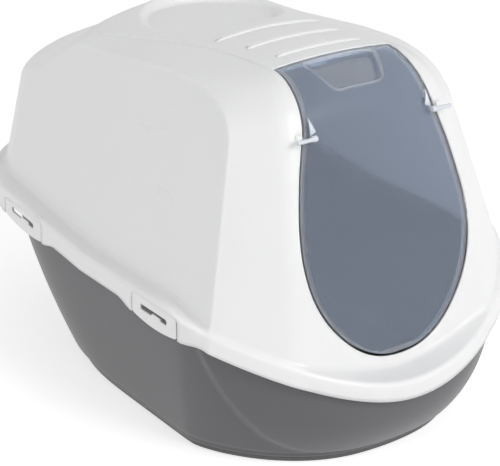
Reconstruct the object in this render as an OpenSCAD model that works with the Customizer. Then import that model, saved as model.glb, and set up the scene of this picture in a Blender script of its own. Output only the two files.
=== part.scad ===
// Hooded litter box: a deep tray, a clip-on hood with a clear swinging door,
// a carry dish in the roof and a charcoal filter under three louvre ribs.
// Front (door) faces -Y, up is +Z, the underside stands on z = 0.

/* [Overall] */
// Width over the rim
rim_w = 376; // [340:2:420]
// Distance from the origin to the nose of the rim
rim_front = 283; // [260:1:310]
// Distance from the origin to the rear of the rim
rim_rear = 283; // [260:1:310]
// Height of the deck above the ground
deck_z = 360; // [345:1:375]
// Wall thickness of tray and hood
wall = 2.4; // [2:0.1:3]
// Vertical gap between hood and tray
seat_gap = 0.4; // [0.3:0.1:1]

/* [Rim] */
// Height of the rim's lower edge at the sides
rim_z = 139; // [125:1:150]
// Height of the rim's lower edge at the nose
nose_z = 70; // [66:1:80]
// Slope at which the rim sinks sideways to the nose
dip_slope = 0.35; // [0.3:0.01:0.36]
// Length over which that slope turns at the nose
dip_round = 60; // [50:1:70]
// How far the rim rises from the middle to the rear
rim_rise = 29; // [10:1:34]
// Height of the skirt under the rim's shoulder
skirt_h = 18; // [14:1:22]
// Side gap between skirt and tray flange
skirt_gap = 0.8; // [0.6:0.1:2]

/* [Tray] */
// Half width of the tray floor
floor_hw = 154; // [145:1:160]
// Distance from the origin to the front of the tray floor
floor_front = 246; // [236:1:254]
// Distance from the origin to the rear of the tray floor
floor_rear = 198; // [185:1:210]
// Height of the tray's construction outline at the top
tray_top_z = 180; // [175:1:190]
// Half width of the tray at that height
tray_top_hw = 180; // [176:1:181]
// Floor thickness
floor_t = 3; // [2.5:0.5:4]
// Height of the recessed foot
foot_h = 4; // [2:1:6]
// Inset of the recessed foot
foot_in = 4; // [2:1:6]

/* [Hood] */
// Half width of the hood at its foot
hood_hw = 169; // [164:1:172]
// Mean half width where the side panels end at the top
panel_hw = 118; // [114:1:122]
// Where the side panels end below the deck, at the middle
panel_drop = 23; // [21:1:26]
// Slope of that edge down to the rear, in degrees
panel_fall = 5; // [3:0.5:6]
// Mean half width of the deck
deck_hw = 93; // [86:1:98]
// Narrowing of the deck towards the door, per millimetre
deck_taper = 0.165; // [0.1:0.005:0.2]
// Radius of the turn from the front strip to the deck
brow_r = 57; // [50:1:62]
// Radius of the hood's rear top edge
nape_r = 90; // [70:1:98]
// Rear end of the level deck
deck_rear = 112; // [106:1:116]
// Length over which the deck falls behind that
fall_len = 23; // [18:1:28]
// How far it falls
fall_h = 13; // [10:1:16]
// Height of the step below the deck's falling edge
step_h = 6; // [4:1:9]
// How far the rear roof falls from the step to the nape
rear_fall = 48; // [40:1:56]

/* [Door] */
// Height of the door's lower end
door_low = 103.5; // [98:0.5:108]
// Where the door's upper edge lies on the deck, in front of the origin
door_top = 146; // [140:1:150]
// Depth of the hinge axis below the deck
axis_drop = 51; // [45:1:60]
// Distance of the hinge axis in front of the origin
axis_y = 208.5; // [204:0.5:212]
// Thickness of the clear door
door_t = 2.2; // [1.8:0.1:3]
// Gap round the door
door_gap = 1.8; // [1.4:0.1:3]
// Radius of the hinge pins
pin_r = 3; // [2.5:0.1:3.5]
// Running clearance of pins and trunnions
run_gap = 0.05; // [0.03:0.01:0.09]
// Half width of the finger recess
grip_hw = 40; // [30:1:46]
// Depth of the finger recess below the deck
grip_depth = 23; // [18:1:25]

/* [Carry dish] */
// Radius of the dish at the deck
dish_r = 69; // [62:1:70]
// Centre of the dish behind the origin
dish_y = 49; // [46:1:50]
// Depth of the dish
dish_h = 13; // [10:1:18]
// How far the dish's wall leans in
dish_lean = 6; // [3:1:10]

/* [Vents and filter] */
// Length of the louvre ribs, rear to front
rib_len = [122, 108, 97];
// Height of a louvre rib
rib_h = 3; // [2:0.5:4]
// Width of a louvre rib
rib_w = 4; // [3:0.5:6]
// Width of the air slot behind each rib
slot_w = 4.6; // [4.5:0.1:6]
// Half width of the filter
filter_hw = 62; // [50:1:66]
// Thickness of the filter pad
filter_t = 7; // [5:0.5:9]

/* [Clips] */
// Length of a clip
clip_len = 74; // [60:1:80]
// How far a clip hangs below the skirt
clip_drop = 9; // [6:1:12]
// Radius of a clip's hinge barrel
barrel_r = 2.5; // [2.3:0.1:2.8]
// Centre of the front clips in front of the origin
clip_front = 130; // [115:1:135]
// Centre of the rear clips behind the origin
clip_rear = 112; // [95:1:120]

/* [Hidden] */
white = [0.95, 0.95, 0.96];
grey = [0.43, 0.43, 0.45];
smoke = [0.45, 0.55, 0.68, 0.55];
clear = [0.85, 0.9, 0.95, 0.6];
black = [0.12, 0.12, 0.13];
rim_hw = rim_w / 2;
axis_z = deck_z - axis_drop;
grip_z = deck_z - grip_depth;
panel_z = deck_z - panel_drop;
step = 5;
barrel_x = rim_hw - barrel_r;
barrel_up = skirt_h - barrel_r;
trunnion_r = 1.5;
ledge_z = skirt_h - wall;
flange_z = ledge_z - seat_gap;
rib_y = [-46, -86, -124];
house_front = -118;
house_rear = -32;
house_low = deck_z - wall - 13;
cover_t = 2;
hinge_r = 1.5;

// Unit vector from a to b
function unit(a, b) = (b - a) / norm(b - a);

// Points of one rounded corner: b is [x, y, radius], a and c its neighbours
function corner(a, b, c) =
    let (p = [b[0], b[1]],
         u = unit(p, [a[0], a[1]]),
         v = unit(p, [c[0], c[1]]),
         half = acos(u * v) / 2,
         t = b[2] / tan(half),
         o = p + (u + v) / norm(u + v) * b[2] / sin(half),
         s = p + u * t - o,
         e = p + v * t - o,
         a0 = atan2(s[1], s[0]),
         raw = atan2(e[1], e[0]) - a0,
         turn = raw > 180 ? raw - 360 : raw < -180 ? raw + 360 : raw,
         n = max(2, ceil(abs(turn) / step)))
    b[2] < 0.01 ? [p] : [for (i = [0 : n]) o + b[2] * [cos(a0 + turn * i / n), sin(a0 + turn * i / n)]];

// Closed polygon with a radius at every corner
function round_poly(p) =
    let (n = len(p))
    [for (i = [0 : n - 1]) each corner(p[(i + n - 1) % n], p[i], p[(i + 1) % n])];

// Polygon (counter-clockwise) moved inwards by d
function inset(p, d) =
    let (n = len(p))
    [for (i = [0 : n - 1])
        let (a = unit(p[(i + n - 1) % n], p[i]),
             b = unit(p[i], p[(i + 1) % n]),
             na = [-a[1], a[0]],
             nb = [-b[1], b[0]])
        p[i] + (na + nb) / (1 + na * nb) * d];

// Closed plan outline: straight sides, superelliptic nose and rear
function plan(hw, front, rear, cf, cr, nf = 2.3, mf = 1.35, nr = 2.2, mr = 2) = concat(
    [for (i = [0 : 17]) let (a = 90 * i / 17)
        [hw * pow(sin(a), 2 / nf), -cf - (front - cf) * pow(cos(a), 2 / mf)]],
    [for (i = [0 : 17]) let (a = 90 * i / 17)
        [hw * pow(cos(a), 2 / nr), cr + (rear - cr) * pow(sin(a), 2 / mr)]],
    [for (i = [1 : 17]) let (a = 90 - 90 * i / 17)
        [-hw * pow(cos(a), 2 / nr), cr + (rear - cr) * pow(sin(a), 2 / mr)]],
    [for (i = [0 : 16]) let (a = 90 - 90 * i / 17)
        [-hw * pow(sin(a), 2 / nf), -cf - (front - cf) * pow(cos(a), 2 / mf)]]);

// Outline whose half width grows by k for every millimetre towards the rear
function taper(p, k) =
    let (w = max([for (q = p) q[0]]))
    [for (q = p) [q[0] * (1 + k * q[1] / w), q[1]]];

// Height of the rim's lower edge at y on the sides, and how it falls towards x = 0
function rim_back(y) = rim_z + rim_rise * max(0, y) / rim_rear;
function fall(x) = dip_slope * (sqrt(x * x + dip_round * dip_round) - dip_round);
nose_tilt = atan((rim_z - nose_z - fall(rim_hw)) / (rim_front - 165));

rim_plan = plan(rim_hw, rim_front, rim_rear, 165, 150);
floor_plan = plan(floor_hw, floor_front, floor_rear, 132, 10);
tray_plan = plan(tray_top_hw, 305, 272, 160, 120);
// Hood outlines at the foot, the nape, the panels' top edge and the deck
foot_low = 60;
nape_low = deck_z - 78;
hood_plan = plan(hood_hw + 92 * (hood_hw - panel_hw) / 185, 274, 292, 215, 150);
nape_plan = plan(panel_hw + 15, 250, 262, 168, 178);
panel_plan = plan(panel_hw, 250, 235, 153, 92);
deck_plan = taper(plan(deck_hw, 192, 150, 130, 60, nr = 3.2), deck_taper);

step_y = deck_rear + fall_len;
// A height of the door's outline, which keeps its place between door_low and the deck
function door_level(z) = door_low + (z - 103.5) * (deck_z - door_low) / 256.5;

// Side profile of the hood: front strip, brow, deck, step and rear, as [y, z, radius]
hood_side = [[-281, 40, 0], [292, 40, 0], [252, deck_z - fall_h - step_h - rear_fall, nape_r],
             [step_y + 2, deck_z - fall_h - step_h, 2], [step_y, deck_z - fall_h, 4],
             [deck_rear, deck_z, 4], [-196, deck_z, brow_r], [-228.5, door_level(214), 400]];
// Half outline of the door seen from the front, as [x, z]
door_shape = [[0, 103.5], [22, 106], [41, 114], [58, 127], [73, 144], [84, 163], [91, 184],
              [94, 208], [92.5, 232], [88.5, 254], [83.5, 276], [77, 298], [72, 314],
              [69, 330], [66.5, 345], [65, 358], [65, 376]];
door_half = [for (p = door_shape) [p[0], door_level(p[1])]];
door_plan = concat(door_half, [for (i = [len(door_half) - 1 : -1 : 1]) [-door_half[i][0], door_half[i][1]]]);

// Plan of the finger recess: wide at the top edge, narrow at the bottom
grip_plan = round_poly([[grip_hw - 13, -door_top - 58, 9], [grip_hw, -door_top - 6, 5],
                        [-grip_hw, -door_top - 6, 5], [13 - grip_hw, -door_top - 58, 9]]);

// Extrudes a polygon in [x, z] along Y
module along_y(p, y0, y1) {
    translate([0, y1, 0])
        rotate([90, 0, 0])
            linear_extrude(height = y1 - y0)
                polygon(p);
}

// Extrudes a polygon in [y, z] along X
module along_x(p, x0, x1) {
    translate([x0, 0, 0])
        rotate([90, 0, 90])
            linear_extrude(height = x1 - x0)
                polygon(p);
}

// Everything under the rim's lower edge, raised by h
module below(h) {
    xs = [for (i = [-15 : 15]) i * (rim_hw + 30) / 15];
    translate([0, 0, h])
        intersection() {
            along_x([[-400, -600], [400, -600], [400, rim_back(400)], [0, rim_z], [-400, rim_z]], -300, 300);
            translate([0, -rim_front, nose_z])
                rotate([nose_tilt, 0, 0])
                    along_y(concat([[-rim_hw - 30, -700]], [[rim_hw + 30, -700]],
                                   [for (i = [30 : -1 : 0]) [xs[i], fall(xs[i]) * cos(nose_tilt)]]), -200, 900);
        }
}

// Space between the rim's lower edge raised by lo and by hi
module band(lo, hi) {
    difference() {
        below(hi);
        below(lo);
    }
}

// Upright block over the rim's plan, moved in by d
module rim_block(d, h = 260) {
    translate([0, 0, 20])
        linear_extrude(height = h)
            polygon(inset(rim_plan, d));
}

// Thin plate with an outline moved in by d, at height z
module level(p, d, z) {
    translate([0, 0, z])
        linear_extrude(height = 0.05)
            polygon(inset(p, d));
}

// Solid that fills the hood, moved in by d
module hood_fill(d) {
    intersection() {
        hull() {
            level(hood_plan, d, foot_low);
            level(nape_plan, d, nape_low);
            rotate([-panel_fall, 0, 0])
                level(panel_plan, d, panel_z - d / 2);
            level(deck_plan, d, deck_z + 1 - d / 2);
        }
        along_x(inset(round_poly(hood_side), d), -300, 300);
        rim_block(6 + d, 500);
    }
}

// Doorway through the front strip and the brow
module doorway() {
    along_y(inset(door_plan, -door_gap), -400, -door_top + door_gap);
}

// Round dish in the deck, with a wall that leans in
module dish_shell() {
    translate([0, dish_y, 0])
        rotate_extrude($fn = 96)
            polygon([[0, deck_z - dish_h - wall], [dish_r - dish_lean + wall, deck_z - dish_h - wall],
                     [dish_r + wall, deck_z - 3], [dish_r + wall, deck_z - 0.5], [0, deck_z - 0.5]]);
}

module dish_space() {
    translate([0, dish_y, 0])
        rotate_extrude($fn = 96)
            polygon([[0, deck_z - dish_h], [dish_r - dish_lean, deck_z - dish_h],
                     [dish_r - 1, deck_z - 2], [dish_r + 1, deck_z + 1], [0, deck_z + 1]]);
}

// Centres of the four clips: side (+1 right, -1 left) and y
clip_places = [[-1, -clip_front], [1, -clip_front], [-1, clip_rear], [1, clip_rear]];

// Height of the rim's lower edge beside a clip at y
function clip_base(y) = y < 0 ? rim_z : rim_back(y);

// Places children at a clip's hinge, with local x outwards
module at_clip(i) {
    s = clip_places[i][0];
    y = clip_places[i][1];
    translate([s * barrel_x, y, clip_base(y) + barrel_up])
        mirror([s < 0 ? 1 : 0, 0, 0])
            children();
}

// Lobe of the skirt and the two bearing lugs round a clip
module clip_lugs(i) {
    at_clip(i)
        for (s = [-1, 1])
            translate([-barrel_r - 0.6, s * (clip_len / 2 + 3.5) - 3.1, -barrel_up - clip_drop]) {
                translate([barrel_r + 0.7, 0, 0])
                    cube([barrel_r - 0.1, 6.2, skirt_h + clip_drop - 0.6]);
                translate([0, 0, barrel_up + clip_drop - barrel_r - 0.6])
                    cube([2 * barrel_r + 0.6, 6.2, 2 * barrel_r + 0.6]);
            }
}

// Room for a clip and the bores of its lugs
module clip_room(i) {
    at_clip(i) {
        translate([-barrel_r - 1.4, -clip_len / 2 - 0.4, -barrel_up - 20])
            cube([2 * barrel_r + 10, clip_len + 0.8, skirt_h + 26]);
        rotate([90, 0, 0])
            cylinder(h = clip_len + 9, r = trunnion_r + run_gap, center = true, $fn = 32);
    }
}

// One clip in its own frame: barrel, plate with finger slot, hook
module clip() {
    difference() {
        union() {
            rotate([90, 0, 0])
                cylinder(h = clip_len, r = barrel_r, center = true, $fn = 48);
            rotate([90, 0, 0])
                cylinder(h = clip_len + 8, r = trunnion_r, center = true, $fn = 32);
            translate([0, -clip_len / 2, -barrel_up - clip_drop])
                cube([barrel_r, clip_len, barrel_up + clip_drop]);
            translate([-2.6, -clip_len / 2 + 8, -barrel_up - clip_drop])
                cube([3, clip_len - 16, 2.4]);
        }
        translate([-1, -22, -13.5])
            cube([6, 44, 5.4]);
        for (s = [-1, 1])
            translate([-1, s * clip_len / 2, -barrel_up - clip_drop])
                rotate([45, 0, 0])
                    cube([8, 6, 6], center = true);
    }
}

// Short bar with round ends along X, for a louvre rib
module bar(len, w, h) {
    translate([-len / 2, -w / 2, 0])
        cube([len, w, h]);
    for (s = [-1, 1])
        translate([s * len / 2, 0, 0])
            cylinder(h = h, r = w / 2, $fn = 24);
}

// Solid that fills the tray from height z up, moved in by d
module tray_fill(d, z) {
    hull() {
        level(floor_plan, d, z);
        level(tray_plan, d, tray_top_z);
    }
}

module base_tray() {
    color(grey)
        difference() {
            union() {
                intersection() {
                    tray_fill(0, 0);
                    below(flange_z);
                }
                intersection() {
                    rim_block(wall + skirt_gap);
                    band(flange_z - wall, flange_z);
                }
            }
            tray_fill(wall + 0.4, foot_h + floor_t);
            translate([0, 0, floor_t])
                linear_extrude(height = foot_h + 1)
                    polygon(inset(floor_plan, foot_in + wall));
            difference() {
                translate([-300, -400, -1])
                    cube([600, 800, foot_h + 1]);
                translate([0, 0, -2])
                    linear_extrude(height = foot_h + 4)
                        polygon(inset(floor_plan, foot_in));
            }
            for (i = [0 : 3])
                at_clip(i)
                    translate([-5.6, -clip_len / 2 - 9, -barrel_up - 20])
                        cube([30, clip_len + 18, 60]);
        }
}

module hood() {
    color(white)
        difference() {
            union() {
                difference() {
                    union() {
                        intersection() {
                            hood_fill(0);
                            band(ledge_z, 500);
                        }
                        intersection() {
                            rim_block(0);
                            band(0, skirt_h);
                        }
                    }
                    hood_fill(wall);
                    intersection() {
                        rim_block(wall);
                        band(-40, ledge_z);
                    }
                }
                for (i = [0 : 3])
                    clip_lugs(i);
                dish_shell();
                for (i = [0 : 2])
                    translate([0, rib_y[i], deck_z - 1])
                        bar(rib_len[i], rib_w, rib_h + 1);
                filter_house();
                for (s = [-1, 1])
                    hinge_block(s);
            }
            doorway();
            dish_space();
            for (i = [0 : 3])
                clip_room(i);
            for (i = [0 : 2])
                translate([-rib_len[i] / 2, rib_y[i] + rib_w / 2, deck_z - 10])
                    cube([rib_len[i], slot_w, 20]);
            translate([0, -axis_y, axis_z])
                rotate([0, 90, 0])
                    cylinder(h = 177, r = pin_r + run_gap, center = true, $fn = 48);
        }
}

// Walls under the deck that hold the filter, with ears for the cover
module filter_house() {
    difference() {
        translate([-filter_hw - 2 * wall, house_front, house_low])
            cube([2 * filter_hw + 4 * wall, house_rear - house_front, deck_z - wall / 2 - house_low]);
        translate([-filter_hw - wall, house_front + wall, house_low - 1])
            cube([2 * filter_hw + 2 * wall, house_rear - house_front - 2 * wall, deck_z - wall - house_low + 1]);
    }
    for (s = [-1, 1])
        difference() {
            translate([s * (filter_hw + wall * 1.5) - wall / 2, house_rear - 8, house_low - 7])
                cube([wall, 8, 8]);
            translate([s * (filter_hw + wall * 1.5), house_rear - 4, house_low - 3.4])
                rotate([0, 90, 0])
                    cylinder(h = 3 * wall, r = hinge_r + run_gap, center = true, $fn = 32);
        }
}

// Seat for one hinge pin, moulded under the strip beside the doorway
module hinge_block(s) {
    intersection() {
        translate([s > 0 ? 77 : -88, -axis_y - 5, axis_z - 6])
            cube([11, 14, 12]);
        along_x(round_poly(hood_side), -120, 120);
    }
}

module flap_door() {
    color(smoke)
        difference() {
            union() {
                intersection() {
                    difference() {
                        along_x(round_poly(hood_side), -120, 120);
                        along_x(inset(round_poly(hood_side), door_t), -121, 121);
                    }
                    along_y(door_plan, -rim_front - 50, -door_top);
                }
                intersection() {
                    translate([0, 0, grip_z - door_t])
                        linear_extrude(height = 40)
                            polygon(inset(grip_plan, -door_t));
                    along_x(round_poly(hood_side), -120, 120);
                }
                for (s = [-1, 1])
                    translate([s * 66.5, -axis_y, axis_z])
                        rotate([0, 90, 0])
                            cylinder(h = 9, r = pin_r + 2.2, center = true, $fn = 48);
            }
            translate([0, 0, grip_z])
                linear_extrude(height = 40)
                    polygon(grip_plan);
            for (s = [-1, 1])
                translate([s * 75, -axis_y, axis_z])
                    rotate([0, 90, 0])
                        cylinder(h = 26, r = pin_r, center = true, $fn = 48);
        }
}

module hinge_pin(s) {
    color(clear)
        translate([s * 75, -axis_y, axis_z])
            rotate([0, 90, 0])
                cylinder(h = 26, r = pin_r, center = true, $fn = 48);
}

module hinge_pin_left() { hinge_pin(-1); }
module hinge_pin_right() { hinge_pin(1); }

module clip_front_left() { color(white) at_clip(0) clip(); }
module clip_front_right() { color(white) at_clip(1) clip(); }
module clip_rear_left() { color(white) at_clip(2) clip(); }
module clip_rear_right() { color(white) at_clip(3) clip(); }

// Cover that carries the filter from below, with an air grid and two hinge stubs
module filter_cover() {
    y0 = house_front + wall + 0.6;
    y1 = house_rear - wall - 0.6;
    hw = filter_hw + wall - 0.6;
    color(white)
        difference() {
            union() {
                translate([-hw, y0, house_low - cover_t])
                    cube([2 * hw, y1 - y0 - 1.4, cover_t]);
                for (s = [-1, 1])
                    translate([s * (hw - 1) - 1, y0, house_low - 0.5])
                        cube([2, y1 - y0 - 10, 4]);
                translate([0, house_rear - 4, house_low - 3.4])
                    rotate([0, 90, 0])
                        cylinder(h = 2 * hw, r = 2.4, center = true, $fn = 48);
                translate([0, house_rear - 4, house_low - 3.4])
                    rotate([0, 90, 0])
                        cylinder(h = 2 * hw + 5.2, r = hinge_r, center = true, $fn = 32);
                translate([-hw, y1 - 7, house_low - 4.4])
                    cube([2 * hw, 6, 4.4]);
                translate([-14, y0 - 1.4, house_low - cover_t - 4])
                    cube([28, 3, 4.2]);
            }
            for (i = [-3 : 3])
                translate([i * 16 - 5, y0 + 10, house_low - 10])
                    cube([10, y1 - y0 - 26, 20]);
        }
}

module filter_pad() {
    color(black)
        translate([0.6 - filter_hw, house_front + wall + 2, house_low + 0.2])
            cube([2 * filter_hw - 1.2, house_rear - house_front - 2 * wall - 12, filter_t]);
}

base_tray();
hood();
flap_door();
hinge_pin_left();
hinge_pin_right();
clip_front_left();
clip_front_right();
clip_rear_left();
clip_rear_right();
filter_cover();
filter_pad();
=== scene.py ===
# %% [markdown]
# # A hooded litter box, dressed over its CAD frame
# The real box is a handful of moulded plastic pieces: a deep grey tray, a white hood clipped on it, a
# clear swinging door, and small pins and clips. The CAD model gives sizes, joints and hidden pieces.
# This script gives the visible mouldings their soft creases and their finishes. Lengths in the shape
# functions are millimetres, as on the drawing, and one helper turns them into metres.

import math

import bpy
import numpy as np
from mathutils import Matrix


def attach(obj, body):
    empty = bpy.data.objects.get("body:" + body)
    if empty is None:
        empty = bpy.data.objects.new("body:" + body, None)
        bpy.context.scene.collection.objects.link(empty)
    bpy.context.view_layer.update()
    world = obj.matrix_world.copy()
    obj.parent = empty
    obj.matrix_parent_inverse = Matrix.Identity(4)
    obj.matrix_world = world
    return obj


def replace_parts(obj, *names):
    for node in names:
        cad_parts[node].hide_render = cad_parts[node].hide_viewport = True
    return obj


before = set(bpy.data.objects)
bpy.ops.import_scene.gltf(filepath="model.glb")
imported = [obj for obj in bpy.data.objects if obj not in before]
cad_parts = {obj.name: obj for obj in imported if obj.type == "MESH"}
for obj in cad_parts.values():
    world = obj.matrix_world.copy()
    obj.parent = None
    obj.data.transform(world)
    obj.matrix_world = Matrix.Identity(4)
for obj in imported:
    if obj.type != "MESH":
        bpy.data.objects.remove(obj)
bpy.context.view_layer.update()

# %% [markdown]
# ## Helpers for surfaces
# A moulding is a thin skin. It could be modelled by hand and subdivided, but its creases come from a
# drawing, so each skin here is a grid of computed points: one parameter runs round it, the other along
# its section. A distance field can trim the grid along a curve, and Solidify gives it its real wall.


# %% Grids and welding
def grid_faces(rows, cols, wrap=True):
    """Quads of a rows x cols grid: column c joins column c + 1, and the last the first if wrap."""
    r, c = np.meshgrid(np.arange(rows - 1), np.arange(cols if wrap else cols - 1), indexing="ij")
    d = (c + 1) % cols
    quads = [r * cols + c, r * cols + d, (r + 1) * cols + d, (r + 1) * cols + c]
    return np.stack(quads, -1).reshape(-1, 4)


def triangles(quads):
    """Each quad cut along one diagonal."""
    return np.concatenate([quads[:, [0, 1, 2]], quads[:, [0, 2, 3]]])


def welded(points, tris, digits=3):
    """Joins points that agree when rounded, and drops triangles that lose their area by it. Also
    gives the index of each point that stays."""
    rounded = np.round(points, digits)
    _, first, back = np.unique(rounded, axis=0, return_index=True, return_inverse=True)
    tris = back.reshape(-1)[tris]
    a, b, c = tris.T
    return points[first], tris[(a != b) & (b != c) & (a != c)], first


# %% Trimming
def trim(points, tris, field):
    """Keeps the part of a triangle mesh where field > 0. On an edge whose ends a, b have opposite
    signs, the cut point is a + (b - a) * fa / (fa - fb)."""
    inside = field > 0
    count = inside[tris].sum(1)
    keep = [tris[count == 3]]
    made, base = [], len(points)
    for n in (1, 2):
        part = tris[count == n]
        lone = inside[part] if n == 1 else ~inside[part]
        k = lone.argmax(1)
        a, b, c = (part[np.arange(len(part)), (k + i) % 3] for i in (0, 1, 2))
        cut = []
        for e in (b, c):
            t = (field[a] / (field[a] - field[e]))[:, None]
            made.append(points[a] + (points[e] - points[a]) * t)
            cut.append(base + np.arange(len(a)))
            base += len(a)
        if n == 1:
            keep.append(np.stack([a, cut[0], cut[1]], -1))
        else:
            keep += [np.stack([cut[0], b, c], -1), np.stack([cut[0], c, cut[1]], -1)]
    points, tris, _ = welded(np.concatenate([points] + made), np.concatenate(keep), 4)
    used, tris = np.unique(tris, return_inverse=True)
    return points[used], tris.reshape(-1, 3)


# %% Objects
def add_object(name, points, tris, body, material):
    """Makes a smooth mesh object from points in millimetres and triangles, with its poles and seams
    welded, and lets it ride on a CAD body."""
    points, tris, _ = welded(points, tris)
    mesh = bpy.data.meshes.new(name)
    mesh.from_pydata((points / 1000).tolist(), [], tris.tolist())
    mesh.validate()
    mesh.update()
    mesh.polygons.foreach_set("use_smooth", [True] * len(mesh.polygons))
    mesh.materials.append(material)
    piece = bpy.data.objects.new(name, mesh)
    bpy.context.collection.objects.link(piece)
    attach(piece, body)
    print(name, len(mesh.vertices), "points", len(mesh.polygons), "faces")
    return piece


def add_grid(name, grid, body, material, wrap=True):
    """Object from a rows x cols x 3 grid of points."""
    tris = triangles(grid_faces(grid.shape[0], grid.shape[1], wrap))
    return add_object(name, grid.reshape(-1, 3), tris, body, material)


def thicken(piece, wall):
    """Solidify inwards, so that the outer face stays where the drawing puts it."""
    mod = piece.modifiers.new("wall", "SOLIDIFY")
    mod.thickness = wall / 1000
    mod.offset = -1
    mod.use_even_offset = False
    return piece


# %% [markdown]
# ## The drawing
# The hood could be lofted from curves, but its panels meet in creases whose width changes along them.
# So each panel is a signed distance, negative inside, and two panels are joined with a round of a
# given radius. A front strip turns over a brow into the deck, side panels lean in, cheeks stand between
# them, shoulders rise to the deck, and a roof falls to the rear.


# %% Rounded creases
def blunt(a, b, r, c=0.0):
    """Larger of two distances, with a crease of radius r: for plane normals with cosine c the centre
    of the round lies r inside both planes, and inside its sector the distance is to that centre."""
    p, q = a + r, b + r
    s = (p - c * q) / (1 - c * c)
    t = (q - c * p) / (1 - c * c)
    ring = np.sqrt(np.maximum(s * s + t * t + 2 * s * t * c, 1e-12)) - r
    return np.where((s > 0) & (t > 0), ring, np.maximum(a, b))


def join(a, b, r):
    """Smaller of two distances, with a fillet of radius r in the corner between them."""
    return -blunt(-a, -b, r)


def ease(t, w):
    """max(t, 0) with a soft start of width w: (t + sqrt(t^2 + w^2)) / 2."""
    return (t + np.sqrt(t * t + w * w)) / 2


# %% Plan outlines
NOSE_N, NOSE_M, TAIL_N, TAIL_M = 2.3, 1.35, 2.2, 2.0
RIM = dict(hw=188, front=283, rear=283, cf=165, cr=150)


def plan(x, y, hw, front, rear, cf, cr):
    """Distance to an outline with straight sides and superelliptic ends: with t = how far y is past
    the straight part, divided by the end's length, the outline is |x / hw|^n + t^m = 1."""
    back = y > 0
    t = np.where(back, (y - cr) / (rear - cr), (-y - cf) / (front - cf))
    t = np.maximum(t, 0)
    n = np.where(back, TAIL_N, NOSE_N)
    m = np.where(back, TAIL_M, NOSE_M)
    u = np.maximum(np.abs(x) / hw, 1e-6)
    g = u**n + t**m - 1
    length = np.where(back, rear - cr, front - cf)
    gx = n * u ** (n - 1) / hw
    gy = m * np.maximum(t, 1e-9) ** (m - 1) / length
    return g / np.sqrt(gx * gx + gy * gy + 1e-12)


# %% Rim line
RIM_Z, NOSE_Z = 139.0, 70.0
RIM_SLOPE = 29 / 283
NOSE_BOW, BOW_WIDTH = 0.35, 60.0
RIM_BOW = NOSE_BOW * (math.hypot(RIM["hw"], BOW_WIDTH) - BOW_WIDTH)
NOSE_TILT = (RIM_Z - NOSE_Z - RIM_BOW) / (RIM["front"] - RIM["cf"])


def rim_line(y):
    """Height of the rim's lower edge along the sides: level in front, rising to the rear."""
    return RIM_Z + RIM_SLOPE * np.maximum(y, 0)


def rim_height(x, y):
    """Lower edge of the rim all round: as along the sides, and sinking to the nose, where it bows
    down towards the middle as sqrt(x^2 + 60^2)."""
    bow = NOSE_BOW * (np.sqrt(x * x + BOW_WIDTH**2) - BOW_WIDTH)
    sink = NOSE_Z + (y + RIM["front"]) * NOSE_TILT + bow
    return -blunt(-rim_line(y), -sink, 12, 0.9)


print("rim sinks", round(RIM_Z - NOSE_Z), "mm to the nose")

# %% Side view
STRIP = np.array([[-281.0, 40.0], [-228.5, 214.0], [-196.0, 360.0]])
BROW_R = 57.0
DECK_Z, DECK_STEP = 360.0, 1.3
CROWN, CROWN_GAIN, DECK_FALL = 0.0009, 0.0000041, 0.036


def line_distance(y, z, a, b):
    """Distance to the line through a and b, positive on its left side."""
    d = (b - a) / np.linalg.norm(b - a)
    return (z - a[1]) * d[0] - (y - a[0]) * d[1]


def deck_height(x, y):
    """Crowned deck: it falls with the square of x, faster towards the rear, and sinks to the rear."""
    crown = CROWN + CROWN_GAIN * np.clip(y + 146, 0, 200)
    return DECK_Z - x * x * crown - DECK_FALL * ease(y + 60, 40)


def front_strip(y, z):
    """Front strip: two straight runs with a long soft bend."""
    lower = line_distance(y, z, STRIP[0], STRIP[1])
    upper = line_distance(y, z, STRIP[1], STRIP[2])
    return blunt(lower, upper, 400, 0.997)


def brow(x, y, z):
    """Strip, brow and deck. The brow turns with BROW_R between the upper run and the deck."""
    d = (STRIP[2] - STRIP[1]) / np.linalg.norm(STRIP[2] - STRIP[1])
    return blunt(front_strip(y, z), z - deck_height(x, y), BROW_R, float(d[0]))


# %% Side panels and shoulders
PANEL_Z, PANEL_HALF, PANEL_LEAN = 60.0, 194.4, 0.2758
SHOULDER_HALF, DECK_SPREAD = 66.8, 0.25


def panel_half(z):
    """Half width of the flat side panels, which lean in with height."""
    return PANEL_HALF - PANEL_LEAN * (z - PANEL_Z)


def side_panel(x, y, z):
    """Side panels and rear wall: a straight side with a superelliptic rear end, both leaning in."""
    h = z - PANEL_Z
    rear, straight = 292 - 0.13 * h, 165 + 0.09 * h
    return plan(x, np.maximum(y, 0.001), panel_half(z), 500, rear, 400, straight) * 0.964


def spread(y):
    """Extra half width of the deck towards the rear."""
    return DECK_SPREAD * ease(y + 45, 36)


def shoulder(x, y, z):
    """Sloping shoulder: at each y a straight line from the top of the side panel, at height zc, to
    the deck's border at half width xd and height zd."""
    zc = 341.5 - 0.03 * (y + 103) - 0.5 * ease(y - 92, 12)
    xd = SHOULDER_HALF + spread(y)
    zd = deck_height(xd, y)
    dx, dz = np.maximum(panel_half(zc) - xd, 6), np.maximum(zd - zc, 2)
    return ((np.abs(x) - xd) * dz + (z - zd) * dx) / np.sqrt(dx * dx + dz * dz)


# %% Cheeks
CHEEK_ARCH = 2.5


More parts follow.
